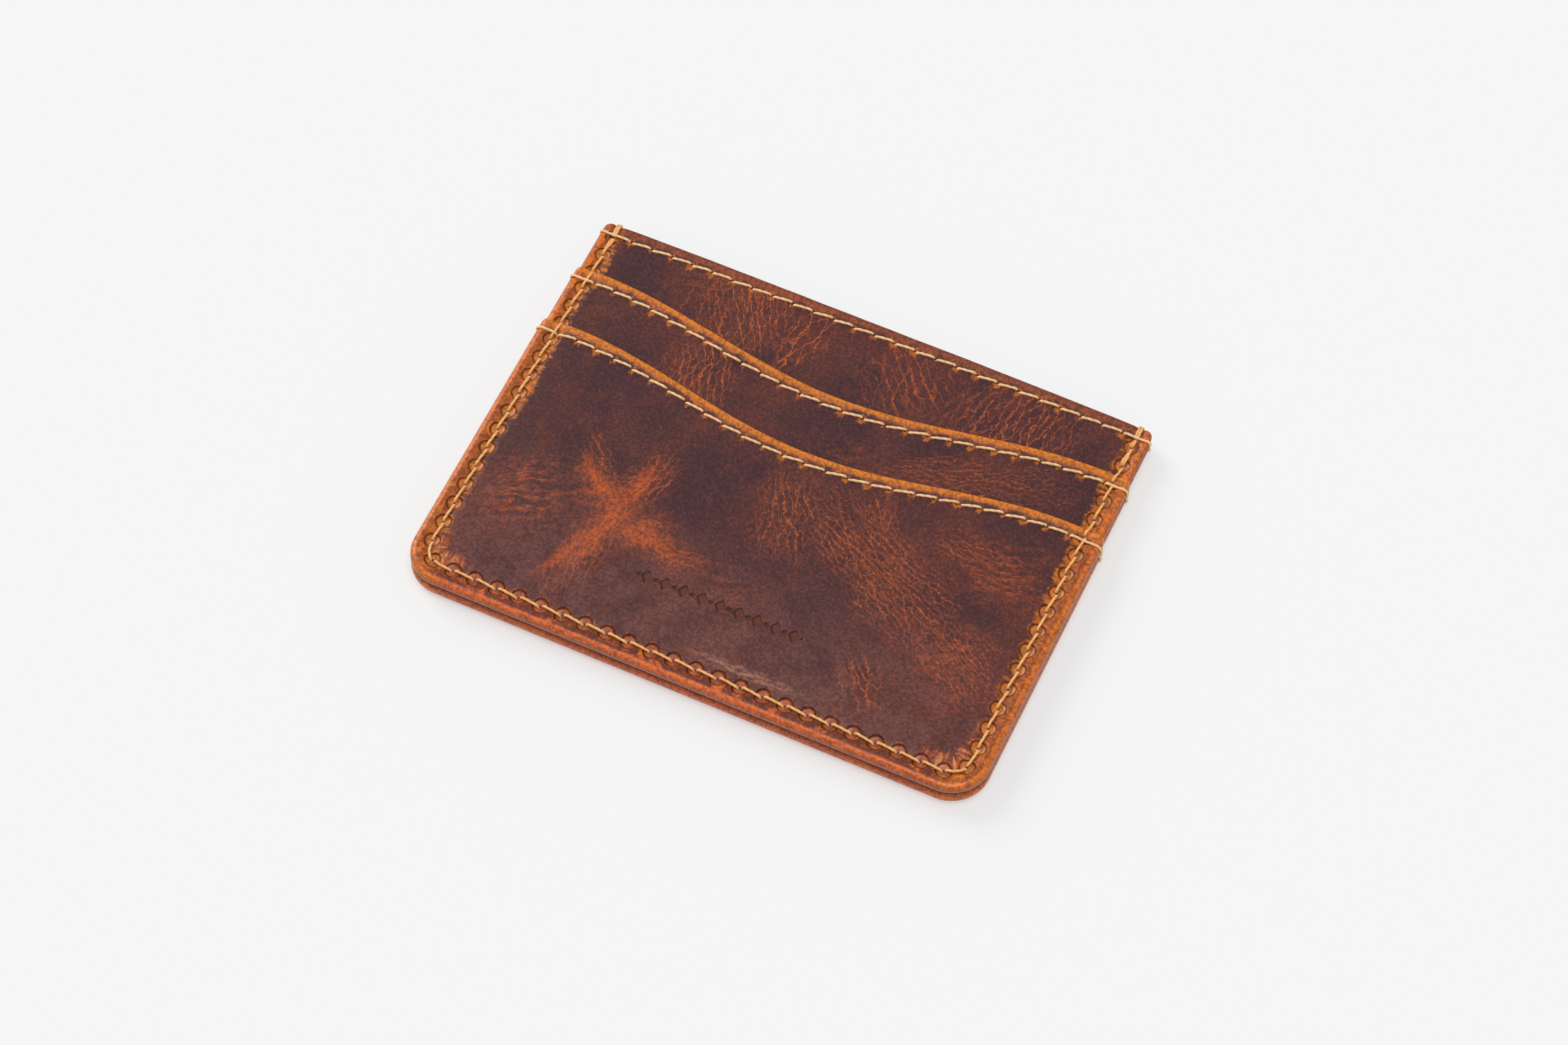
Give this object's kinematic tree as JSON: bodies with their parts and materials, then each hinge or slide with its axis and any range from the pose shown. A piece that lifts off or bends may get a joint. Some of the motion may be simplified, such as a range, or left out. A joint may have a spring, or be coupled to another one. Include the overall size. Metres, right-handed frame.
{
  "type": "card holder",
  "caption": "Slim leather card holder, two sewn halves with dipped card pockets on both faces and an open centre pocket, lying flat on its back.",
  "frame": {"origin": "centre of the footprint, on the table that the holder lies on", "axes": "+X to the right across the front, along the mouths; +Y towards the mouth of the centre pocket; +Z out of the front face"},
  "size_m": [0.1, 0.075, 0.007],
  "materials": {
    "panel_leather": "waxed, satin",
    "pocket_leather": "waxed, satin, rubbed orange at the mouths",
    "lining_cloth": "matt twill",
    "thread": "waxed twisted thread"
  },
  "bodies": {
    "root": {"front_panel": "panel_leather", "back_panel": "panel_leather", "front_upper_pocket": "pocket_leather", "front_lower_pocket": "pocket_leather", "back_upper_pocket": "pocket_leather", "back_lower_pocket": "pocket_leather", "front_lining": "lining_cloth", "back_lining": "lining_cloth", "front_panel_mouth_thread": "thread", "front_upper_pocket_mouth_thread": "thread", "front_lower_pocket_mouth_thread": "thread", "front_border_thread": "thread", "front_slot_floor_thread": "thread", "back_panel_mouth_thread": "thread", "back_upper_pocket_mouth_thread": "thread", "back_lower_pocket_mouth_thread": "thread", "back_border_thread": "thread", "back_slot_floor_thread": "thread"}
  },
  "joints": []
}
